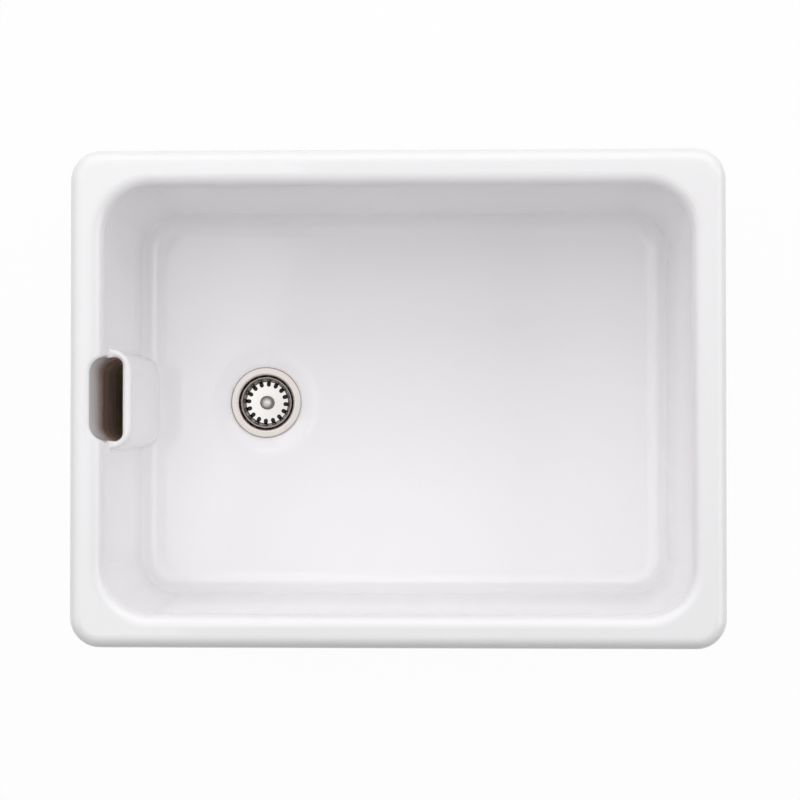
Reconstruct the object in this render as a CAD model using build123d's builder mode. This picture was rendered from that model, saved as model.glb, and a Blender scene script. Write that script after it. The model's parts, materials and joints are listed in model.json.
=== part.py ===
from build123d import *

import os

os.makedirs("parts", exist_ok=True)

# All sizes are in millimetres. The origin is the middle of the base, +Z is up,
# the front edge is towards -Y, and the overflow and the waste are towards -X.

# Outside of the sink
sink_width = 600.0
sink_depth = 456.0
sink_height = 255.0
outer_corner_radius = 28.0
outer_draft = 0.8
rim_width = 31.0
back_rim_width = 34.0
rim_round = 12.0
base_round = 9.0
base_recess_depth = 3.0
base_recess_margin = 4.0

# Bowl
bowl_corner_radius = 44.0
bowl_draft = 1.5
floor_thickness = 33.0
floor_slope = 0.45
floor_fillet = 22.0

# Weir overflow cast into the left end wall
weir_drop = 35.0
weir_projection = 21.0
weir_wall = 8.0
weir_round = 3.5
notch_margin = 1.0
weir_root_fillet = 2.5
chamber_width = 78.0
chamber_recess = 12.2
chamber_corner_radius = 16.0
chamber_side_run = 1.5
weir_lip_run = 1.2
duct_width = 50.0
duct_height = 14.0
duct_floor = 8.0
duct_corner_radius = 4.0

# Waste hole and the dish round it
waste_offset = 140.0
waste_hole_diameter = 60.0
dish_run = 14.0
dish_depth = 3.0
dish_round = 40.0

# Pressed steel strainer bowl
flange_overlap = 5.8
flange_margin = 1.0
flange_edge_gap = 0.3
flange_bend = 1.5
strainer_wall_gap = 1.1
strainer_depth = 20.2
strainer_run = 6.0
strainer_bend = 2.5
strainer_sheet = 0.9
plug_seat_width = 5.0
neck_depth = 12.0
neck_bend = 1.5
port_count = 7
port_diameter = 6.4

# Seals
flange_seal_thickness = 1.5
body_seal_thickness = 4.0
body_seal_margin = 1.0
body_seal_round = 1.0
plug_seal_wall_gap = 1.7
plug_seal_land = 1.8
plug_seal_gap = 0.3

# Moulded waste body
shoulder_overlap = 12.0
shoulder_thickness = 5.0
shoulder_round = 1.2
collar_clearance = 1.5
collar_rise = 4.0
collar_slot_count = 8
collar_slot_width = 11.0
collar_slot_height = 9.0
body_wall = 2.8
cone_height = 16.0
tail_diameter = 47.8
tail_wall = 3.4
tail_length = 36.0
tail_chamfer = 1.2
hub_diameter = 19.0
hub_height = 14.0
rib_count = 4
rib_thickness = 3.0
rib_height = 10.0
rib_drop = 2.0

# Hollow fixing screw, its washer and its nut
screw_diameter = 8.0
screw_head_diameter = 14.0
screw_head_height = 3.5
screw_head_round = 1.0
screw_slot_width = 2.0
screw_slot_depth = 1.6
screw_overrun = 3.0
screw_washer_diameter = 15.0
screw_washer_thickness = 1.0
insert_nut_flats = 13.0
insert_nut_height = 6.5

# Basket
basket_rim_gap = 2.4
basket_lip = 1.4
basket_side_run = 2.7
basket_drop = 3.0
basket_depth = 11.0
basket_sheet = 0.8
basket_bend = 1.2
basket_hole_count = 16
basket_hole_width = 4.2
basket_hole_length = 5.5
basket_hole_inset = 2.4
basket_hole_angle = -4.5
side_hole_diameter = 3.6

# Knob, stem and the stack under the basket
knob_diameter = 14.0
knob_foot_diameter = 9.0
knob_waist_diameter = 7.6
knob_waist_height = 2.2
knob_shoulder_height = 5.0
stem_diameter = 4.4
stem_socket_depth = 8.0
stem_engagement = 14.0
stem_chamfer = 0.6
seal_washer_diameter = 20.0
seal_washer_thickness = 1.2
stem_nut_flats = 8.0
stem_nut_height = 3.5
grip_height = 1.6
grip_groove_depth = 0.6
grip_groove_foot = 3.0
grip_clearance = 0.1

# Clearances between pieces that are put together
screw_clearance = 0.3
fit_clearance = 0.05
seal_clearance = 0.3
stem_clearance = 0.4

# Diameters and rounds that follow from the sizes above
flange_diameter = waste_hole_diameter + 2 * flange_overlap
dish_diameter = flange_diameter + 2 * (flange_margin + dish_run)
mouth_diameter = waste_hole_diameter - 2 * (strainer_wall_gap + strainer_sheet)
strainer_foot_diameter = mouth_diameter - 2 * strainer_run
neck_diameter = strainer_foot_diameter - 2 * plug_seat_width
plug_seal_diameter = strainer_foot_diameter - 2 * plug_seal_wall_gap
shoulder_diameter = waste_hole_diameter + 2 * shoulder_overlap
screw_bore_diameter = stem_diameter + 2 * stem_clearance
basket_rim_diameter = mouth_diameter - 2 * basket_rim_gap
basket_base_diameter = basket_rim_diameter - 2 * (basket_lip + basket_side_run)
basket_hole_circle = basket_base_diameter - 2 * basket_hole_inset
weir_corner_radius = weir_projection
chamber_depth = chamber_recess + weir_projection - weir_wall
chamber_nose_radius = chamber_depth - chamber_corner_radius - chamber_side_run
notch_round = weir_wall - weir_round - notch_margin

# Levels and places that follow from the sizes above
waste_x = -waste_offset
glaze_seat = floor_thickness - dish_depth
flange_top = glaze_seat + flange_seal_thickness + strainer_sheet
plug_seat = flange_top - strainer_depth
neck_floor = plug_seat - neck_depth
hub_top = neck_floor - strainer_sheet
hub_bottom = hub_top - hub_height
screw_head_seat = neck_floor + screw_washer_thickness
screw_head_top = screw_head_seat + screw_head_height
basket_rim_top = flange_top - basket_drop
basket_plate_top = basket_rim_top - basket_depth
basket_plate_underside = basket_plate_top - basket_sheet
plug_seal_bottom = plug_seat + plug_seal_gap
seal_washer_bottom = plug_seal_bottom - seal_washer_thickness
stem_nut_bottom = seal_washer_bottom - stem_nut_height
stem_bottom = screw_head_top - stem_engagement
weir_top = sink_height - weir_drop
bowl_end = rim_width - sink_width / 2
bowl_depth = sink_depth - rim_width - back_rim_width
bowl_middle = (rim_width - back_rim_width) / 2
weir_front = bowl_end + weir_projection
weir_half_width = chamber_width / 2 + weir_wall
chamber_back = bowl_end - chamber_recess
chamber_front = weir_front - weir_wall
weir_lip_start = chamber_front - chamber_nose_radius - weir_lip_run

# Section plane through the waste: its x is the radius and its y is the height
waste_axis = Axis((waste_x, 0, 0), (0, 0, 1))
waste_section = Plane(origin=(waste_x, 0, 0), x_dir=(1, 0, 0), z_dir=(0, -1, 0))


def waste_level(height):
    return Plane(origin=(waste_x, 0, height))


# Inside of the bowl, with the overflow standing out from its left end
with BuildPart() as bowl_space:
    with BuildSketch(Plane.XY.offset(sink_height)):
        with Locations((0, bowl_middle)):
            RectangleRounded(sink_width - 2 * rim_width, bowl_depth, bowl_corner_radius)
    extrude(amount=glaze_seat - sink_height, taper=bowl_draft)
    with BuildSketch(waste_section) as floor_section:
        with BuildLine():
            dish_edge = (dish_diameter / 2, floor_thickness)
            dish_foot = (flange_diameter / 2 + flange_margin, glaze_seat)
            floor_line = PolarLine(dish_edge, sink_width, floor_slope)
            floor_end = floor_line @ 1
            Polyline(floor_end, (floor_end.X, 0), (0, 0), (0, glaze_seat), dish_foot, dish_edge)
        make_face()
        fillet(floor_section.vertices().sort_by_distance(dish_edge)[0], dish_round)
    revolve(axis=waste_axis, mode=Mode.SUBTRACT)
    floor_face = bowl_space.faces().filter_by(GeomType.CONE).sort_by(SortBy.AREA)[-1]
    fillet(floor_face.outer_wire().edges(), floor_fillet)
    with BuildSketch(Plane.XY.offset(glaze_seat)) as weir_outline:
        with Locations((weir_front, 0)):
            Rectangle(sink_width, 2 * weir_half_width, align=(Align.MAX, Align.CENTER))
        fillet(weir_outline.vertices().group_by(Axis.X)[-1], weir_corner_radius)
    extrude(amount=weir_top - glaze_seat, mode=Mode.SUBTRACT)
    weir_root = bowl_space.edges(Select.NEW).group_by(Axis.Z)[:-1]
    fillet([edge for level in weir_root for edge in level], weir_root_fillet)
    weir_crest = bowl_space.faces().filter_by(Axis.Z).group_by(Axis.Z)[-2]
    wall_edge = weir_crest.edges().sort_by(Axis.X)[0]
    fillet(weir_crest.edges() - [wall_edge], weir_round)

# Overflow space below the weir: a shaft with a rounded mouth, and the duct from it to the waste
with BuildSketch(Plane.XY) as chamber_plan:
    with Locations((chamber_front, 0)):
        Rectangle(chamber_depth, chamber_width, align=(Align.MAX, Align.CENTER))
    fillet(chamber_plan.vertices().group_by(Axis.X)[0], chamber_corner_radius)
    fillet(chamber_plan.vertices().group_by(Axis.X)[-1], chamber_nose_radius)
chamber_outline = chamber_plan.sketch

with BuildPart() as overflow_space:
    with BuildSketch(Plane.XY.offset(duct_floor)):
        add(chamber_outline)
    extrude(amount=weir_top - duct_floor)
    with BuildLine(Plane.XY.offset(weir_top)) as weir_lip:
        FilletPolyline(
            (weir_lip_start, -chamber_width / 2),
            (chamber_front, -chamber_width / 2),
            (chamber_front, chamber_width / 2),
            (weir_lip_start, chamber_width / 2),
            radius=chamber_nose_radius,
        )
    with BuildSketch(Plane(origin=weir_lip.line @ 0, x_dir=(0, -1, 0), z_dir=weir_lip.line % 0)):
        Rectangle(2 * weir_round, weir_round, align=(Align.CENTER, Align.MIN))
        with Locations((weir_round, weir_round)):
            Circle(weir_round, mode=Mode.SUBTRACT)
    sweep()
    with BuildSketch(Plane.YZ.offset(waste_x)):
        with Locations((0, duct_floor + duct_height / 2)):
            RectangleRounded(duct_width, duct_height, duct_corner_radius)
    extrude(amount=(chamber_back + chamber_front) / 2 - waste_x)

# Fireclay sink: one casting, glazed all over but for its base
with BuildPart() as sink_body:
    with BuildSketch(Plane.XY.offset(sink_height)):
        RectangleRounded(sink_width, sink_depth, outer_corner_radius)
    extrude(amount=-sink_height, taper=outer_draft)
    add(bowl_space.part, mode=Mode.SUBTRACT)
    fillet(sink_body.faces().sort_by(Axis.Z)[-1].edges(), rim_round)
    fillet(sink_body.faces().sort_by(Axis.Z)[0].edges(), base_round)
    with BuildSketch(Plane.XY.offset(weir_top)):
        add(chamber_outline)
    extrude(amount=sink_height, mode=Mode.SUBTRACT)
    notch_edges = sink_body.edges(Select.NEW).filter_by(lambda edge: edge.center().Z > weir_top + notch_round)
    fillet(notch_edges, notch_round)
    add(overflow_space.part, mode=Mode.SUBTRACT)
    with Locations((waste_x, 0, 0)):
        Cylinder(waste_hole_diameter / 2, 2 * floor_thickness, mode=Mode.SUBTRACT)
        Cylinder(shoulder_diameter / 2 + base_recess_margin, 2 * base_recess_depth, mode=Mode.SUBTRACT)

sink_body.part.label = "sink_body"
export_step(sink_body.part, "parts/sink_body.step")

# Washer between the steel flange and the glaze
with BuildPart() as flange_seal:
    with BuildSketch(waste_level(glaze_seat)):
        Circle(flange_diameter / 2 - flange_bend)
        Circle(waste_hole_diameter / 2 + seal_clearance, mode=Mode.SUBTRACT)
    extrude(amount=flange_seal_thickness)

flange_seal.part.label = "flange_seal"
export_step(flange_seal.part, "parts/flange_seal.step")

# Strainer bowl: one pressing, with a turned-down flange, a seat for the plug and a ported neck
with BuildPart() as strainer_bowl:
    with BuildSketch(waste_section):
        with BuildLine():
            FilletPolyline(
                (flange_diameter / 2, glaze_seat + flange_edge_gap),
                (flange_diameter / 2, flange_top),
                (mouth_diameter / 2, flange_top),
                (strainer_foot_diameter / 2, plug_seat),
                (neck_diameter / 2, plug_seat),
                (neck_diameter / 2, neck_floor),
                (screw_diameter / 2 + screw_clearance, neck_floor),
                radius=(flange_bend, strainer_bend, strainer_bend, neck_bend, neck_bend),
            )
            offset(amount=strainer_sheet, side=Side.LEFT)
        make_face()
    revolve(axis=waste_axis)
    with BuildSketch(waste_level(neck_floor)):
        with PolarLocations((hub_diameter + neck_diameter) / 4, port_count):
            Circle(port_diameter / 2)
    extrude(amount=2 * strainer_sheet, both=True, mode=Mode.SUBTRACT)

strainer_bowl.part.label = "strainer_bowl"
export_step(strainer_bowl.part, "parts/strainer_bowl.step")

# Space inside the waste body, round the hub and its ribs
collar_radius = waste_hole_diameter / 2 - collar_clearance
collar_top = plug_seat + collar_rise
shoulder_top = base_recess_depth - body_seal_thickness
shoulder_bottom = shoulder_top - shoulder_thickness
tail_top = shoulder_bottom - cone_height
tail_bottom = tail_top - tail_length
rib_top = hub_top - rib_drop
with BuildPart() as body_space:
    with BuildSketch(waste_section):
        with BuildLine():
            Polyline(
                (0, collar_top),
                (collar_radius - body_wall, collar_top),
                (collar_radius - body_wall, shoulder_bottom),
                (tail_diameter / 2 - tail_wall, tail_top),
                (tail_diameter / 2 - tail_wall, tail_bottom),
                (0, tail_bottom),
                close=True,
            )
        make_face()
    revolve(axis=waste_axis)
    with BuildSketch(waste_level(hub_bottom)):
        Circle(hub_diameter / 2)
    extrude(amount=hub_height, mode=Mode.SUBTRACT)
    with BuildSketch(waste_level(rib_top)):
        with PolarLocations(0, rib_count):
            Rectangle(waste_hole_diameter, rib_thickness, align=(Align.MIN, Align.CENTER))
    extrude(amount=-rib_height, mode=Mode.SUBTRACT)

# Moulded waste body: slotted collar, clamping shoulder, cone and tail
with BuildPart() as waste_body:
    with BuildSketch(waste_section) as waste_body_section:
        with BuildLine():
            Polyline(
                (0, collar_top),
                (collar_radius, collar_top),
                (collar_radius, shoulder_top),
                (shoulder_diameter / 2, shoulder_top),
                (shoulder_diameter / 2, shoulder_bottom),
                (collar_radius, shoulder_bottom),
                (tail_diameter / 2, tail_top),
                (tail_diameter / 2, tail_bottom),
                (0, tail_bottom),
                close=True,
            )
        make_face()
        fillet(waste_body_section.vertices().group_by(Axis.X)[-1], shoulder_round)
        chamfer(waste_body_section.vertices().group_by(Axis.Y)[0].sort_by(Axis.X)[-1], tail_chamfer)
    revolve(axis=waste_axis)
    add(body_space.part, mode=Mode.SUBTRACT)
    with BuildSketch(waste_level(collar_top)):
        with PolarLocations(0, collar_slot_count):
            Rectangle(waste_hole_diameter, collar_slot_width, align=(Align.MIN, Align.CENTER))
        Circle(hub_diameter / 2, mode=Mode.SUBTRACT)
    extrude(amount=-collar_slot_height, mode=Mode.SUBTRACT)
    with BuildSketch(waste_level(hub_bottom)):
        Circle(screw_diameter / 2 + screw_clearance)
    extrude(amount=hub_height, mode=Mode.SUBTRACT)
    with BuildSketch(waste_level(hub_bottom)):
        RegularPolygon(insert_nut_flats / 2 + fit_clearance, 6, major_radius=False)
    extrude(amount=insert_nut_height, mode=Mode.SUBTRACT)

waste_body.part.label = "waste_body"
export_step(waste_body.part, "parts/waste_body.step")

# Thick rubber ring between the shoulder and the underside of the sink
with BuildPart() as body_seal:
    with BuildSketch(waste_level(shoulder_top)):
        Circle(shoulder_diameter / 2 - body_seal_margin)
        Circle(collar_radius + seal_clearance, mode=Mode.SUBTRACT)
    extrude(amount=body_seal_thickness)
    fillet(body_seal.edges().filter_by(GeomType.CIRCLE).sort_by(SortBy.RADIUS)[-2:], body_seal_round)

body_seal.part.label = "body_seal"
export_step(body_seal.part, "parts/body_seal.step")

# Brass nut held in the hub
with BuildPart() as insert_nut:
    with BuildSketch(waste_level(hub_bottom)):
        RegularPolygon(insert_nut_flats / 2, 6, major_radius=False)
        Circle(screw_diameter / 2 + fit_clearance, mode=Mode.SUBTRACT)
    extrude(amount=insert_nut_height)

insert_nut.part.label = "insert_nut"
export_step(insert_nut.part, "parts/insert_nut.step")

# Sealing washer under the screw head
with BuildPart() as screw_washer:
    with BuildSketch(waste_level(neck_floor)):
        Circle(screw_washer_diameter / 2)
        Circle(screw_diameter / 2 + fit_clearance, mode=Mode.SUBTRACT)
    extrude(amount=screw_washer_thickness)

screw_washer.part.label = "screw_washer"
export_step(screw_washer.part, "parts/screw_washer.step")

# Hollow fixing screw, slotted head up
with BuildPart() as fixing_screw:
    with BuildSketch(waste_level(screw_head_seat)):
        Circle(screw_head_diameter / 2)
    extrude(amount=screw_head_height)
    fillet(fixing_screw.edges().group_by(Axis.Z)[-1], screw_head_round)
    with BuildSketch(waste_level(hub_bottom - screw_overrun)):
        Circle(screw_diameter / 2)
    extrude(until=Until.NEXT)
    with BuildSketch(waste_level(screw_head_top)):
        Rectangle(screw_head_diameter, screw_slot_width)
    extrude(amount=-screw_slot_depth, mode=Mode.SUBTRACT)
    with BuildSketch(waste_level(screw_head_top)):
        Circle(screw_bore_diameter / 2)
    extrude(until=Until.LAST, mode=Mode.SUBTRACT, dir=(0, 0, -1))

fixing_screw.part.label = "fixing_screw"
export_step(fixing_screw.part, "parts/fixing_screw.step")

# Lift-out basket: pressed sheet, punched round the edge of its base and again in its side
with BuildPart() as basket:
    with BuildSketch(waste_section):
        with BuildLine():
            FilletPolyline(
                (basket_rim_diameter / 2, basket_rim_top),
                (basket_rim_diameter / 2 - basket_lip, basket_rim_top),
                (basket_base_diameter / 2, basket_plate_top),
                (stem_diameter / 2 + fit_clearance, basket_plate_top),
                radius=basket_bend,
            )
            offset(amount=basket_sheet, side=Side.LEFT)
        make_face()
    revolve(axis=waste_axis)
    with BuildSketch(waste_level(basket_plate_top)):
        with PolarLocations(basket_hole_circle / 2, basket_hole_count, basket_hole_angle):
            SlotOverall(basket_hole_length, basket_hole_width)
    extrude(amount=2 * basket_sheet, both=True, mode=Mode.SUBTRACT)
    with Locations((waste_x, 0, basket_plate_top + basket_depth / 2)):
        with PolarLocations(basket_rim_diameter / 2, basket_hole_count, basket_hole_angle):
            Cylinder(side_hole_diameter / 2, basket_rim_diameter / 4, rotation=(0, 90, 0), mode=Mode.SUBTRACT)

basket.part.label = "basket"
export_step(basket.part, "parts/basket.step")

# Domed knob with a narrow waist
knob_middle = basket_plate_top + knob_shoulder_height
knob_top = knob_middle + knob_diameter / 2
with BuildPart() as basket_knob:
    with BuildSketch(waste_section):
        with BuildLine():
            shoulder_point = (knob_diameter / 2, knob_middle)
            foot_point = (knob_foot_diameter / 2, basket_plate_top)
            waist_point = (knob_waist_diameter / 2, basket_plate_top + knob_waist_height)
            ThreePointArc(foot_point, waist_point, shoulder_point)
            CenterArc((0, knob_middle), knob_diameter / 2, 0, 90)
            Polyline((0, knob_top), (0, basket_plate_top), foot_point)
        make_face()
    revolve(axis=waste_axis)
    with BuildSketch(waste_level(basket_plate_top)):
        Circle(stem_diameter / 2 + fit_clearance)
    extrude(amount=stem_socket_depth, mode=Mode.SUBTRACT)

basket_knob.part.label = "basket_knob"
export_step(basket_knob.part, "parts/basket_knob.step")

# Stem from the knob down into the hollow screw, with a groove for the grip ring
grip_bottom = stem_bottom + grip_groove_foot
grip_groove_radius = stem_diameter / 2 - grip_groove_depth
with BuildPart() as basket_stem:
    with BuildSketch(waste_level(stem_bottom)):
        Circle(stem_diameter / 2)
    extrude(amount=basket_plate_top + stem_socket_depth - stem_bottom)
    chamfer(basket_stem.edges().group_by(Axis.Z)[0], stem_chamfer)
    with BuildSketch(waste_level(grip_bottom)):
        Circle(stem_diameter / 2)
        Circle(grip_groove_radius, mode=Mode.SUBTRACT)
    extrude(amount=grip_height, mode=Mode.SUBTRACT)

basket_stem.part.label = "basket_stem"
export_step(basket_stem.part, "parts/basket_stem.step")

# Rubber disc that closes the outlet when the basket is pushed home
with BuildPart() as plug_seal:
    with BuildSketch(waste_section):
        with BuildLine():
            lip_radius = neck_diameter / 2 + neck_bend + plug_seal_land
            Polyline(
                (stem_diameter / 2 + fit_clearance, plug_seal_bottom),
                (lip_radius, plug_seal_bottom),
                (plug_seal_diameter / 2, (plug_seal_bottom + basket_plate_underside) / 2),
                (plug_seal_diameter / 2, basket_plate_underside),
                (stem_diameter / 2 + fit_clearance, basket_plate_underside),
                close=True,
            )
        make_face()
    revolve(axis=waste_axis)

plug_seal.part.label = "plug_seal"
export_step(plug_seal.part, "parts/plug_seal.step")

# Washer and nut that hold the rubber disc on the stem
with BuildPart() as seal_washer:
    with BuildSketch(waste_level(seal_washer_bottom)):
        Circle(seal_washer_diameter / 2)
        Circle(stem_diameter / 2 + fit_clearance, mode=Mode.SUBTRACT)
    extrude(amount=seal_washer_thickness)

seal_washer.part.label = "seal_washer"
export_step(seal_washer.part, "parts/seal_washer.step")

with BuildPart() as stem_nut:
    with BuildSketch(waste_level(stem_nut_bottom)):
        RegularPolygon(stem_nut_flats / 2, 6, major_radius=False)
        Circle(stem_diameter / 2 + fit_clearance, mode=Mode.SUBTRACT)
    extrude(amount=stem_nut_height)

stem_nut.part.label = "stem_nut"
export_step(stem_nut.part, "parts/stem_nut.step")

# Rubber ring that grips in the bore of the screw
with BuildPart() as stem_grip:
    with BuildSketch(waste_level(grip_bottom + grip_clearance)):
        Circle(screw_bore_diameter / 2 - grip_clearance)
        Circle(grip_groove_radius + grip_clearance, mode=Mode.SUBTRACT)
    extrude(amount=grip_height - 2 * grip_clearance)

stem_grip.part.label = "stem_grip"
export_step(stem_grip.part, "parts/stem_grip.step")
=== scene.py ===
# %% [markdown]
# # A white belfast sink with its basket waste
# The solids of the sink arrive at their real size, in metres, and stay exactly where they are.
# This lesson gives every one of them a finish, cuts the threads that the solids leave plain,
# and sets up a white studio with the camera almost straight above the bowl.

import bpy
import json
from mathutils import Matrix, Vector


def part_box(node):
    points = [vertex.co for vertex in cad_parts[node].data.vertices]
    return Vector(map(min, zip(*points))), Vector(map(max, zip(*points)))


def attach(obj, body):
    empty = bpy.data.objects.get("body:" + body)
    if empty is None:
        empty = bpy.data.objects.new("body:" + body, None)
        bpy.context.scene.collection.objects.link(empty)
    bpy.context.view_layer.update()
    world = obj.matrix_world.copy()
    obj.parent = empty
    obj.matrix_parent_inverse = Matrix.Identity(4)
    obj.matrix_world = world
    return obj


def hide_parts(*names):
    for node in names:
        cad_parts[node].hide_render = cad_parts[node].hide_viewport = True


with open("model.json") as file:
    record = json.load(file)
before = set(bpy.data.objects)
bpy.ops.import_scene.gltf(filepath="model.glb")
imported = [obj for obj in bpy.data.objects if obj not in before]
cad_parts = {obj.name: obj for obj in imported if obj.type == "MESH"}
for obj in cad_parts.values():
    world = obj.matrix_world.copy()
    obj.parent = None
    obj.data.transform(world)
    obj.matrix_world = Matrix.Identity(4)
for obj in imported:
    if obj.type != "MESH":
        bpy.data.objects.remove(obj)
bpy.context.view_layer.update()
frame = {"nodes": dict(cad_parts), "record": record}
print("solids:", ", ".join(sorted(frame["nodes"])))

# %% [markdown]
# ## Places to work from
# The finishes follow the object, so they need a few of its places: the axis of the waste, the top
# of the rim and the mouth of the overflow. They could be typed in again, but then they would drift
# from the solids. Reading them from the frame keeps the two together.

# %% Places read from the frame
import json
import math

import bmesh
import bpy
from mathutils import Matrix, Vector

mm = 0.001
record = frame["record"]
rim_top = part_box("sink_body")[1].z
flange_low, flange_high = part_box("strainer_bowl")
waste_x = (flange_low.x + flange_high.x) / 2
openings = {item["name"]: item["box_m"] for item in record["physics"]["openings"]}
shaft_low, shaft_high = (Vector(corner) for corner in openings["overflow_shaft"])
print(f"rim at {rim_top / mm:.0f} mm, waste axis at x = {waste_x / mm:.0f} mm")

# %% [markdown]
# ## A small language for shaders
# A finish is a network of nodes, and wiring it by hand hides the idea behind it. Here a `Wire` is
# one value in the network and Python's own operators add the Math nodes, so a mask reads like the
# formula that it is. Every other node comes from one method, `node`, which takes the node's type,
# its settings and what goes into its sockets.


# %% Wires and networks
class Wire:
    """One value in a network. Arithmetic on wires adds Math nodes."""

    def __init__(self, network, socket):
        self.network = network
        self.socket = socket

    def __add__(self, other):
        return self.network.math("ADD", self, other)

    def __sub__(self, other):
        return self.network.math("SUBTRACT", self, other)

    def __rsub__(self, other):
        return self.network.math("SUBTRACT", other, self)

    def __mul__(self, other):
        return self.network.math("MULTIPLY", self, other)

    __radd__ = __add__
    __rmul__ = __mul__


class Network:
    """A tree of shader nodes that grows as it is described."""

    def __init__(self, tree):
        self.tree = tree

    def plug(self, socket, value):
        if isinstance(value, Wire):
            self.tree.links.new(value.socket, socket)
        else:
            socket.default_value = value

    def node(self, kind, settings=None, inputs=None, output=0):
        made = self.tree.nodes.new("ShaderNode" + kind)
        for name, value in (settings or {}).items():
            setattr(made, name, value)
        for name, value in (inputs or {}).items():
            self.plug(made.inputs[name], value)
        return Wire(self, made.outputs[output])

    def math(self, operation, *values):
        return self.node("Math", {"operation": operation}, dict(enumerate(values)))


print("wires ready")

# %% [markdown]
# A finish adds what materials need again and again: the object's own coordinates, smooth steps,
# noise, colours mixed by a mask, and relief. It reads Object coordinates, so a pattern stays on its
# piece when the basket is lifted out or turned.


# %% Finishes
class Finish(Network):
    """A material with one Principled shader, and the object's coordinates to work from."""

    def __init__(self, name):
        self.material = bpy.data.materials.new(name)
        self.material.use_nodes = True
        super().__init__(self.material.node_tree)
        self.shader = self.tree.nodes["Principled BSDF"]
        self.place = self.node("TexCoord", output="Object")
        self.x, self.y, self.z = (
            self.node("SeparateXYZ", inputs={0: self.place}, output=axis) for axis in "XYZ"
        )

    def step(self, value, start, end):
        """0 before start, 1 past end, and a smooth rise between them."""
        settings = {"interpolation_type": "SMOOTHSTEP"}
        inputs = {"Value": value, "From Min": start, "From Max": end}
        return self.node("MapRange", settings, inputs)

    def past(self, value, limit):
        """How far a value lies beyond a limit on either side of zero."""
        return self.math("MAXIMUM", self.math("ABSOLUTE", value) - limit, 0.0)

    def length(self, along, across):
        """The long side of a right-angled triangle."""
        return self.math("SQRT", along * along + across * across)

    def noise(self, scale, detail, roughness=0.5, place=None):
        inputs = {
            "Vector": place or self.place,
            "Scale": scale,
            "Detail": detail,
            "Roughness": roughness,
        }
        return self.node("TexNoise", inputs=inputs)

    def stretched_noise(self, factors, detail, roughness=0.5):
        """Noise whose coordinates are scaled by a factor for each direction."""
        place = self.node("VectorMath", {"operation": "MULTIPLY"}, {0: self.place, 1: factors})
        return self.noise(1.0, detail, roughness, place)

    def mix(self, factor, low, high):
        """A colour between low and high. The Mix node keeps colours in sockets 6, 7 and 2."""
        inputs = {"Factor": factor, 6: low, 7: high}
        return self.node("Mix", {"data_type": "RGBA"}, inputs, output=2)

    def bump(self, height, depth, normal=None):
        """Relief of the given depth in metres, on top of another relief if there is one."""
        inputs = {"Height": height, "Distance": depth, "Strength": 1.0}
        if normal:
            inputs["Normal"] = normal
        return self.node("Bump", inputs=inputs)

    def use(self, **sockets):
        for name, value in sockets.items():
            self.plug(self.shader.inputs[name.replace("_", " ").title()], value)
        return self.material


print("finishes ready")

# %% [markdown]
# ## Mouth of the overflow
# The overflow is a shaft inside the end wall, with a notch above it that lets the water in. Its
# walls look different from the bowl, so a mask has to pick them out. The faces could be selected by
# hand, but a mask from the object's own coordinates needs no selecting. The opening in the record
# lies a little inside the shaft, so the mask is that box grown to the shaft's walls. It has the
# shaft's rounded corners, so that nothing of it shows on the outside of the weir.

# %% Mask of the overflow
shaft_wall = 3.5 * mm
shaft_end = 11 * mm
shaft_corner = 7.7 * mm
shaft_reach = 2.5 * mm
shaft_foot = 5 * mm
foot_fade = 3 * mm


def overflow_mouth(finish):
    """1 on the walls of the overflow's shaft and notch."""
    middle = (shaft_low.x + shaft_high.x) / 2
    half = (shaft_high.x - shaft_low.x) / 2 + shaft_wall
    side = shaft_high.y + shaft_end
    across = finish.past(finish.x - middle, half - shaft_corner)
    along = finish.past(finish.y, side - shaft_corner)
    beyond = finish.length(across, along) - shaft_corner
    above_foot = finish.step(finish.z, shaft_foot, shaft_foot + foot_fade)
    return (1 - finish.step(beyond, mm, shaft_reach)) * above_foot


print(f"overflow opening {(shaft_high.y - shaft_low.y) / mm:.0f} mm long")

# %% [markdown]
# ## Where the clay is bare
# The sink is one casting of buff fireclay under an opaque white glaze. Where no glaze was sprayed,
# down the overflow, in the waste hole and under the base, the clay shows, with an uneven edge where
# the glaze stopped. Two materials on cut faces could show that, but the edge would be straight. One
# material with masks gives a ragged edge, because noise can be added to the height it lies at.

# %% Masks of bare clay
glaze_stop = rim_top - 66 * mm
tongue_stretch = (34.0, 34.0, 6.0)
tongue_length = 34 * mm
drip_stretch = (170.0, 170.0, 4.0)
drip_length = 12 * mm
fade_below = -14 * mm
fade_above = 12 * mm
waste_hole_radius = 30 * mm
hole_edge = 0.2 * mm
base_rag = 5 * mm
base_fade = 1.2 * mm
noise_mean = 0.5


def bare_shaft(finish, mouth):
    """1 down the shaft, below a wavering line of glaze with drips in it."""
    tongues = finish.stretched_noise(tongue_stretch, detail=3.0) - noise_mean
    drips = finish.stretched_noise(drip_stretch, detail=2.0) - noise_mean
    edge = glaze_stop + tongues * tongue_length + drips * drip_length
    return mouth * (1 - finish.step(finish.z - edge, fade_below, fade_above))


def distance_from_waste(finish):
    """Distance from the axis of the waste, measured level."""
    return finish.length(finish.x - waste_x, finish.y)


def bare_hole(finish):
    """1 in the waste hole."""
    radius = distance_from_waste(finish)
    return 1 - finish.step(radius, waste_hole_radius + hole_edge, waste_hole_radius + mm)


def bare_base(finish):
    """1 under the base, up to a ragged edge."""
    ragged = finish.noise(scale=40.0, detail=3.0) * base_rag
    return 1 - finish.step(finish.z - ragged, 0.0, base_fade)


print(f"glaze stops {(rim_top - glaze_stop) / mm:.0f} mm below the rim in the overflow")
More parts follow.
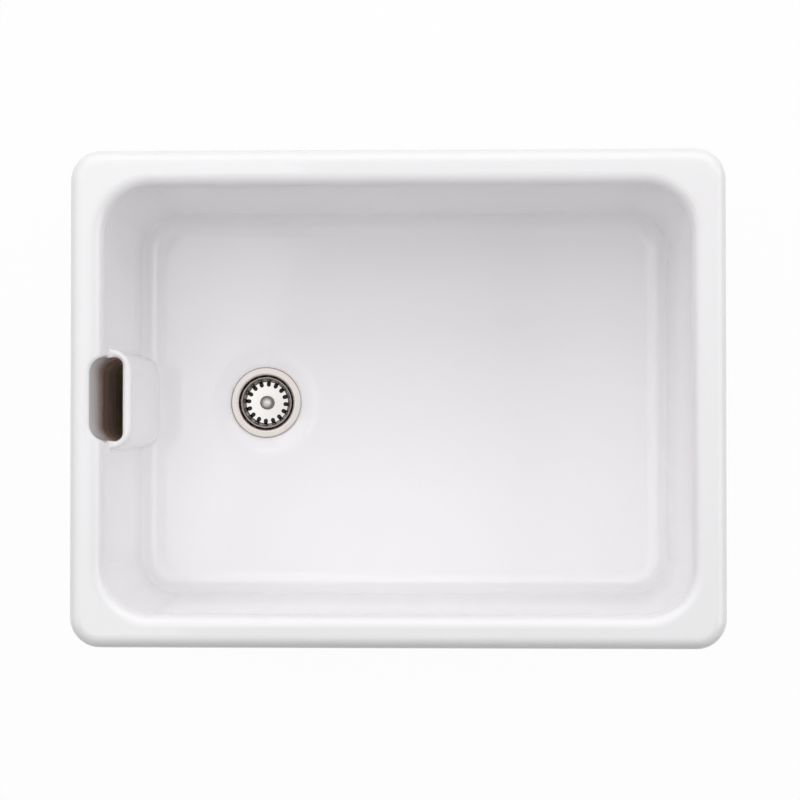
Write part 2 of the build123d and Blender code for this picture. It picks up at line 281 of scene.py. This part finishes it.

# %% [markdown]
# ## Colours of the fireclay
# In the notch the glaze was sprayed thinly and the clay shines through it. Below that the clay is
# stained by water, in bands that follow the level it stood at. Further down it is painted paler:
# that is painted light, which lifts the shade deep in the shaft where little light reaches. A
# photograph laid on the wall could show all this, but noise that is stretched along the bands has
# no seam and no end.

# %% Colours of glaze and clay
thin_glaze_low = rim_top - 36 * mm
thin_glaze_high = rim_top - 8 * mm
# Depth below the glaze over which the clay is painted paler, as painted light deep in the shaft.
lightening_depth = 75 * mm
even_cast = 0.55
band_cast = 0.45


def rgb(red, green, blue):
    return (red, green, blue, 1.0)


def shaft_colour(finish, bands):
    """Clay in the shaft: stained near the glaze, painted paler further down as painted light."""
    stained = finish.mix(bands, rgb(0.44, 0.31, 0.25), rgb(0.72, 0.57, 0.48))
    # Deeper down the clay is painted paler: painted light for the shade deep in the shaft.
    lightened = finish.mix(bands, rgb(0.86, 0.74, 0.66), rgb(0.96, 0.88, 0.81))
    return finish.mix(finish.step(glaze_stop - finish.z, 0.0, lightening_depth), stained, lightened)


def glaze_colour(finish, mouth, bands):
    """White with the faintest cloud in it, and a pink cast where it is thin."""
    cloud = finish.noise(scale=7.0, detail=3.0)
    white = finish.mix(cloud, rgb(0.943, 0.929, 0.943), rgb(0.960, 0.946, 0.960))
    depth = 1 - finish.step(finish.z, thin_glaze_low, thin_glaze_high)
    thin = mouth * depth * (even_cast + band_cast * bands)
    return finish.mix(thin, white, rgb(0.96, 0.885, 0.86))


print(f"clay is clean {lightening_depth / mm:.0f} mm below the glaze")

# %% [markdown]
# ## Glazed fireclay
# The glaze is glassy, but it flows a little in the kiln, so its reflections waver. Slow waves could
# be modelled in the mesh, but they are a tenth of a millimetre deep, so bump shows them as well and
# leaves the mesh alone. A finer orange peel lies on the waves, and grit where the clay is bare.

# %% Glazed fireclay
wave_depth = 0.10 * mm
peel_depth = 0.0035 * mm
grit_depth = 0.25 * mm
glaze_roughness = 0.045
glaze_haze = 0.03
clay_roughness = 0.72
glaze_ior = 1.52
band_stretch = (40.0, 16.0, 85.0)
band_low = 0.34
band_high = 0.66


def fireclay_relief(finish, grain, clay):
    """Waves in the glaze, orange peel on them, and grit on the clay."""
    waves = finish.bump(finish.noise(scale=16.0, detail=1.0), wave_depth)
    peel = finish.bump(finish.noise(scale=260.0, detail=2.0), peel_depth, waves)
    return finish.bump(grain * clay, grit_depth, peel)


def glazed_fireclay():
    finish = Finish("glazed_fireclay")
    mouth = overflow_mouth(finish)
    shaft = bare_shaft(finish, mouth)
    open_clay = finish.math("MAXIMUM", bare_hole(finish), bare_base(finish))
    clay = finish.math("MAXIMUM", shaft, open_clay)
    water_marks = finish.stretched_noise(band_stretch, detail=3.0, roughness=0.6)
    bands = finish.step(water_marks, band_low, band_high)
    grain = finish.noise(scale=900.0, detail=3.0)
    buff = finish.mix(grain, rgb(0.50, 0.42, 0.32), rgb(0.62, 0.54, 0.43))
    earth = finish.mix(shaft, buff, shaft_colour(finish, bands))
    colour = finish.mix(clay, glaze_colour(finish, mouth, bands), earth)
    haze = finish.noise(scale=30.0, detail=2.0)
    roughness = glaze_roughness + glaze_haze * haze + clay * clay_roughness
    finish.shader.inputs["IOR"].default_value = glaze_ior
    relief = fireclay_relief(finish, grain, clay)
    return finish.use(base_color=colour, roughness=roughness, normal=relief)


glaze = glazed_fireclay()
print("made", glaze.name)

# %% [markdown]
# ## Steel
# The flange of the waste is satin: it was polished on a spindle, which leaves rings about the axis
# of the waste. The plate of the basket is bright, but its side was drawn through a die and not
# polished after that, so it is rougher, and so is the bowl below the basket. Both are also painted
# much darker, and that dark colour is painted shade, for the shade down in the waste. The knob was
# turned. All of this is stainless steel, so one function makes the finishes. The rings come from
# noise that reads the distance from the axis instead of the plain coordinates, and a band over
# height picks out what is rougher and painted with shade.

# %% Spun stainless steel
ring_fineness = 5200
ring_share = 0.5
steady_gloss = 0.75
ring_gloss = 0.5
haze_roughness = 0.05
band_fade = mm
dull_roughness = 0.22


def spun_steel(name, colours, gloss, ring_depth, smear, rough_shaded_band=None, painted_shade_colours=None):
    finish = Finish(name)
    turn = finish.math("ARCTAN2", finish.y, finish.x - waste_x)
    inputs = {
        "X": distance_from_waste(finish) * ring_fineness,
        "Y": finish.z * ring_fineness,
        "Z": turn * smear,
    }
    spun = finish.node("CombineXYZ", inputs=inputs)
    rings = finish.noise(scale=1.0, detail=3.0, roughness=0.65, place=spun)
    haze = finish.noise(scale=70.0, detail=3.0)
    colour = finish.mix(haze * (1 - ring_share) + rings * ring_share, *colours)
    roughness = gloss * (steady_gloss + ring_gloss * rings) + haze_roughness * haze
    if rough_shaded_band:
        low, high = rough_shaded_band
        above_low = finish.step(finish.z, low, low + band_fade)
        band = above_low * (1 - finish.step(finish.z, high - band_fade, high))
        # Inside the band the colour is painted shade: the dark colours stand in for the shade down
        # in the waste.
        colour = finish.mix(band, colour, finish.mix(rings, *painted_shade_colours))
        roughness = roughness + dull_roughness * band
    relief = finish.bump(rings, ring_depth)
    return finish.use(base_color=colour, roughness=roughness, metallic=1.0, normal=relief)


print("steel ready")

# %% [markdown]
# Four steels come from that function. They could be one, but each piece shows its own grey under
# soft light: darker on the satin flange and the stem, paler on the plate and the knob.

# %% The steels of the waste
basket_low, basket_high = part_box("basket")
plate_edge = 1.6 * mm
past_end = 5 * mm
satin_steel = spun_steel(
    "satin_steel",
    colours=(rgb(0.38, 0.352, 0.337), rgb(0.47, 0.435, 0.42)),
    gloss=0.26,
    ring_depth=0.004 * mm,
    smear=3.0,
    # The band below the flange is rougher, and painted shade on the bowl's wall round the basket.
    rough_shaded_band=(flange_low.z - past_end, basket_low.z),
    painted_shade_colours=(rgb(0.05, 0.045, 0.04), rgb(0.10, 0.09, 0.08)),
)
bright_steel = spun_steel(
    "bright_steel",
    colours=(rgb(0.46, 0.443, 0.434), rgb(0.54, 0.522, 0.513)),
    gloss=0.12,
    ring_depth=0.0012 * mm,
    smear=2.0,
    # The band over the side of the basket is rougher, and painted shade.
    rough_shaded_band=(basket_low.z + plate_edge, basket_high.z + past_end),
    painted_shade_colours=(rgb(0.17, 0.145, 0.13), rgb(0.27, 0.235, 0.215)),
)
knob_steel = spun_steel(
    "knob_steel",
    colours=(rgb(0.47, 0.456, 0.447), rgb(0.57, 0.552, 0.543)),
    gloss=0.48,
    ring_depth=0.002 * mm,
    smear=2.0,
)
turned_steel = spun_steel(
    "turned_steel",
    colours=(rgb(0.36, 0.355, 0.35), rgb(0.50, 0.49, 0.485)),
    gloss=0.30,
    ring_depth=0.008 * mm,
    smear=0.6,
)
print("made", satin_steel.name, bright_steel.name, knob_steel.name, turned_steel.name)

# %% [markdown]
# ## Moulding, rubber, brass and nylon
# Under the sink everything is plainer. The waste body is a polypropylene moulding with a fine
# spark-eroded grain. The seals are black rubber with a grey bloom on them, which takes the shine
# off. The nuts are turned brass and the screw's washer is nylon. They could have a recipe each, but
# they differ only in numbers, so they share one: two colours clouded together, a roughness that
# follows the cloud, and a relief at the scale of the material.

# %% Plain finishes of the hidden pieces
usual_specular = 0.5
bloomed_specular = 0.25
cloud_low = 0.3
cloud_high = 0.7
cloud_roughness = 0.18
grain_roughness = 0.10


def clouded(name, colours, cloud, gloss, grain, depth, metallic=0.0, specular=usual_specular):
    finish = Finish(name)
    clouds = finish.noise(scale=cloud, detail=4.0)
    grains = finish.noise(scale=grain, detail=3.0, roughness=0.6)
    colour = finish.mix(finish.step(clouds, cloud_low, cloud_high), *colours)
    roughness = gloss + cloud_roughness * (clouds - noise_mean) + grain_roughness * grains
    finish.shader.inputs["Specular IOR Level"].default_value = specular
    relief = finish.bump(grains, depth)
    return finish.use(base_color=colour, roughness=roughness, metallic=metallic, normal=relief)


moulding = clouded(
    "moulded_polypropylene",
    colours=(rgb(0.70, 0.70, 0.68), rgb(0.78, 0.78, 0.76)),
    cloud=55,
    gloss=0.38,
    grain=2600,
    depth=0.03 * mm,
)
rubber = clouded(
    "black_rubber",
    colours=(rgb(0.010, 0.010, 0.011), rgb(0.028, 0.028, 0.029)),
    cloud=120,
    gloss=0.58,
    grain=1900,
    depth=0.03 * mm,
    specular=bloomed_specular,
)
brass = clouded(
    "turned_brass",
    colours=(rgb(0.52, 0.37, 0.15), rgb(0.74, 0.56, 0.27)),
    cloud=300,
    gloss=0.22,
    grain=4200,
    depth=0.01 * mm,
    metallic=1.0,
)
nylon = clouded(
    "moulded_nylon",
    colours=(rgb(0.74, 0.72, 0.64), rgb(0.82, 0.80, 0.73)),
    cloud=160,
    gloss=0.34,
    grain=2400,
    depth=0.02 * mm,
)
print("made", moulding.name, rubber.name, brass.name, nylon.name)

# %% [markdown]
# ## Which piece has which finish
# On the real object a piece is made of one material, and so it is here. Each solid has one material
# slot. Assigning to that slot leaves the mesh alone, which painting single faces would not.

# %% Dress the solids
finishes = {
    "sink_body": glaze,
    "strainer_bowl": satin_steel,
    "basket": bright_steel,
    "basket_knob": knob_steel,
    "basket_stem": turned_steel,
    "fixing_screw": turned_steel,
    "seal_washer": turned_steel,
    "stem_nut": brass,
    "insert_nut": brass,
    "waste_body": moulding,
    "flange_seal": rubber,
    "body_seal": rubber,
    "plug_seal": rubber,
    "stem_grip": rubber,
    "screw_washer": nylon,
}
for node_name, finish_used in finishes.items():
    frame["nodes"][node_name].data.materials.clear()
    frame["nodes"][node_name].data.materials.append(finish_used)
print("dressed", len(finishes), "solids")

# %% [markdown]
# ## Threads
# The tail of the waste carries an inch and a half pipe thread for the trap, and the hollow screw
# has a thread that runs in its nut. The solids leave both plain at the outer diameter. A thread
# could be faked with bump, but its outline shows from the side. So a vee-shaped groove is spun up
# a helix as a cutter, and a Boolean takes it out of a merged copy of the solid.

# %% A cutter for a thread
groove_overshoot = 0.15
land_share = 0.06
steps_per_turn = 48
cutter_weld = 1e-6


def new_object(name, shape):
    """An object made from a bmesh, which is used up."""
    mesh = bpy.data.meshes.new(name)
    shape.to_mesh(mesh)
    shape.free()
    made = bpy.data.objects.new(name, mesh)
    bpy.context.scene.collection.objects.link(made)
    return made


def helical_cutter(radius, pitch, depth, start, turns):
    """A closed vee groove that climbs round the waste axis from the height start."""
    shape = bmesh.new()
    out = radius + groove_overshoot * depth
    half = pitch * (0.5 - land_share)
    corners = [(out, -half), (radius - depth, 0.0), (out, half)]
    points = [shape.verts.new((waste_x + r, 0, start + h)) for r, h in corners]
    vee = shape.faces.new(points)
    steps = round(turns * steps_per_turn)
    bmesh.ops.spin(
        shape,
        geom=[vee, *vee.verts, *vee.edges],
        cent=(waste_x, 0, 0),
        axis=(0, 0, 1),
        dvec=(0, 0, pitch / steps_per_turn),
        angle=math.tau * steps / steps_per_turn,
        steps=steps,
    )
    bmesh.ops.remove_doubles(shape, verts=shape.verts, dist=cutter_weld)
    bmesh.ops.recalc_face_normals(shape, faces=shape.faces)
    print("groove sections:", steps)
    return new_object("thread_cutter", shape)


print("a turn of thread has", steps_per_turn, "sections")

# %% [markdown]
# The solid's own mesh is loose triangles and stays as it is. The copy is welded first, because a
# Boolean needs a closed skin. Its result is kept as a plain mesh, and the cutter is thrown away.

# %% A threaded copy of a solid
copy_weld = 1e-7
crease_angle = math.radians(28)


def merged_copy(node_name, piece_name):
    """A copy of a solid as one welded mesh."""
    mesh = frame["nodes"][node_name].data.copy()
    mesh.name = piece_name
    shape = bmesh.new()
    shape.from_mesh(mesh)
    bmesh.ops.remove_doubles(shape, verts=shape.verts, dist=copy_weld)
    shape.to_mesh(mesh)
    shape.free()
    piece = bpy.data.objects.new(piece_name, mesh)
    bpy.context.scene.collection.objects.link(piece)
    return piece


def cut_thread(node_name, piece_name, cutter):
    """A copy of a solid with the cutter's groove taken out of it."""
    piece = merged_copy(node_name, piece_name)
    cut = piece.modifiers.new("thread", "BOOLEAN")
    cut.operation = "DIFFERENCE"
    cut.solver = "EXACT"
    cut.object = cutter
    graph = bpy.context.evaluated_depsgraph_get()
    threaded = bpy.data.meshes.new_from_object(piece.evaluated_get(graph))
    piece.modifiers.clear()
    piece.data = threaded
    piece.data.shade_smooth()
    piece.data.set_sharp_from_angle(angle=crease_angle)
    cutter_mesh = cutter.data
    bpy.data.objects.remove(cutter)
    bpy.data.meshes.remove(cutter_mesh)
    return piece


print("edges stay sharp past", round(math.degrees(crease_angle)), "degrees")

# %% [markdown]
# A threaded copy takes the place of its solid. It has to move with the same body and carry the same
# material slot. The body is looked up in the record under the solid's name, and the slot comes with
# the copied mesh.

# %% Bodies and slots from the record
bodies = record["behaviour"]["bodies"]
body_of = {node: body for body, nodes in bodies.items() for node in nodes}


def stand_for(piece, node_name):
    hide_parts(node_name)
    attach(piece, body_of[node_name])
    print(piece.name, "has", len(piece.data.polygons), "faces")


print("bodies:", ", ".join(bodies))

# %% [markdown]
# The pipe thread has 11 turns to the inch. It stops short of the cone above it, as a moulded
# thread does. The tail's radius is the one that the record gives for the trap to fit on.

# %% Thread on the tail
inch = 25.4 * mm
turns_per_inch = 11
mounts = {mount["name"]: mount for mount in record["mounts"]}
tail_radius = mounts["trap_tail"]["dims"]["r_mm"] * mm
tail_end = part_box("waste_body")[0].z
tail_pitch = inch / turns_per_inch
tail_depth = 1.3 * mm
tail_turns = 13
tail_start = tail_end - tail_pitch
tail_cutter = helical_cutter(tail_radius, tail_pitch, tail_depth, tail_start, tail_turns)
threaded_body = cut_thread("waste_body", "threaded_waste_body", tail_cutter)
stand_for(threaded_body, "waste_body")

# %% [markdown]
# The screw is an M8 with a pitch of 1.25 mm. Its thread runs up from its end to the underside of
# the hub. The groove starts one turn below the end, as the one on the tail does, so that it runs
# out cleanly.

# %% Thread on the hollow screw
screw_radius = 4 * mm
screw_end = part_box("fixing_screw")[0].z
screw_pitch = 1.25 * mm
screw_depth = 0.65 * mm
screw_turns = 11
screw_start = screw_end - screw_pitch
screw_cutter = helical_cutter(screw_radius, screw_pitch, screw_depth, screw_start, screw_turns)
threaded_screw = cut_thread("fixing_screw", "threaded_fixing_screw", screw_cutter)
stand_for(threaded_screw, "fixing_screw")

# %% [markdown]
# ## White studio
# The sink is shown on plain white. A floor lies just under the tail. It could be lit until it is
# white, but then the glaze would be too bright. So to the camera, and in reflections, it is white
# by itself, and a small share of lit white paint is mixed in, so that the shadow of the sink still
# falls on it. From below it is clear, so that the waste can be looked at from there.

# %% Floor
floor_size = 9.0
floor_gap = 0.5 * mm
floor_level = tail_end - floor_gap
shadow_share = 0.04
paper_white = 0.82
paper_roughness = 0.9


def seen_directly(network):
    """1 for what the camera sees, also in a reflection or through glass."""
    rays = ("Is Camera Ray", "Is Glossy Ray", "Is Transmission Ray")
    camera_ray, glossy, through = (network.node("LightPath", output=ray) for ray in rays)
    return network.math("MINIMUM", camera_ray + glossy + through, 1.0)


def studio_paper():
    paper = Finish("studio_paper")
    paper.use(base_color=rgb(paper_white, paper_white, paper_white), roughness=paper_roughness)
    paint = Wire(paper, paper.shader.outputs[0])
    glow = paper.node("Emission", inputs={"Color": rgb(1, 1, 1), "Strength": 1.0})
    white_share = seen_directly(paper) * (1 - shadow_share)
    both = paper.node("MixShader", inputs={0: white_share, 1: paint, 2: glow})
    underside = paper.node("NewGeometry", output="Backfacing")
    clear = paper.node("BsdfTransparent")
    one_sided = paper.node("MixShader", inputs={0: underside, 1: both, 2: clear})
    paper.plug(paper.tree.nodes["Material Output"].inputs["Surface"], one_sided)
    return paper.material


floor_shape = bmesh.new()
bmesh.ops.create_grid(floor_shape, x_segments=4, y_segments=4, size=floor_size / 2)
bmesh.ops.translate(floor_shape, verts=floor_shape.verts, vec=(0, 0, floor_level))
floor = new_object("studio_floor", floor_shape)
floor.data.materials.append(studio_paper())
print("floor at", round(floor_level / mm, 1), "mm")

# %% [markdown]
# The world does the same: white to look at, and a soft grey as light. A picture of a room could
# light the sink too, but the glaze would show the room.

# %% World light
world_level = 0.10


def studio_world():
    world = bpy.data.worlds.new("studio")
    world.use_nodes = True
    bpy.context.scene.world = world
    sky = Network(world.node_tree)
    background = world.node_tree.nodes["Background"]
    sky.plug(background.inputs["Color"], rgb(1, 1, 1))
    level = world_level + (1 - world_level) * seen_directly(sky)
    sky.plug(background.inputs["Strength"], level)


studio_world()
print("world light", world_level)

# %% [markdown]
# ## Lamps
# A glazed sink is photographed between large soft boxes, because a small lamp would draw its own
# shape in the glaze. Most of the light comes from behind and from the right, so the near wall is
# bright and the far wall grey. The boxes on the left, in front and overhead are weaker and only lift
# what those leave dark. One big dome of light would be simpler, but all walls would look alike.

# %% Soft boxes
lamp_aim = Vector((0, 0, 0.2))
# Each box has a place, a width and height, and a power in watts
soft_boxes = {
    "back_box": ((0, 2.4, 1.8), (5.0, 2.6), 37.0),
    "high_back_box": ((0, 1.6, 2.6), (4.0, 2.4), 21.0),
    "left_box": ((-2.4, 0.2, 1.7), (2.6, 2.0), 14.5),
    "high_left_box": ((-1.2, 0.3, 2.6), (1.8, 1.8), 8.5),
    "right_box": ((2.4, 0.2, 1.7), (2.6, 2.0), 24.0),
    "front_box": ((0, -1.8, 2.6), (3.0, 1.6), 5.5),
    "top_box": ((0, 0, 3.3), (3.2, 3.2), 13.5),
}


def soft_box(name, place, size, watts):
    lamp = bpy.data.lights.new(name, "AREA")
    lamp.shape = "RECTANGLE"
    lamp.size, lamp.size_y = size
    lamp.energy = watts
    box = bpy.data.objects.new(name, lamp)
    box.location = place
    box.rotation_euler = (lamp_aim - Vector(place)).to_track_quat("-Z", "Y").to_euler()
    bpy.context.scene.collection.objects.link(box)


for box_name, box_values in soft_boxes.items():
    soft_box(box_name, *box_values)
print("lamps:", ", ".join(soft_boxes))

# %% [markdown]
# ## Camera
# The camera looks down from about two metres above the rim, a little right of the middle and a
# little towards the front, with a short telephoto lens. It is turned from three directions at right
# angles, so that the back of the sink is at the top of the picture. A Track To constraint could aim
# it too, but it leaves open which way is up when the camera looks almost straight down.

# %% Camera above the bowl
camera_height = 1.950
camera_place = Vector((0.068, -0.0365, rim_top + camera_height))
camera_aim = Vector((0.0033, -0.00155, rim_top))
camera_data = bpy.data.cameras.new("camera")
camera_data.lens = 96.66
camera_data.sensor_width = 36.0
camera = bpy.data.objects.new("camera", camera_data)
camera.location = camera_place
back = (camera_place - camera_aim).normalized()
right = Vector((0, 1, 0)).cross(back).normalized()
camera.rotation_euler = Matrix((right, back.cross(right), back)).transposed().to_euler()
bpy.context.scene.collection.objects.link(camera)
bpy.context.scene.camera = camera
bpy.context.scene.view_settings.view_transform = "Standard"
print("camera at", [round(v, 3) for v in camera_place])
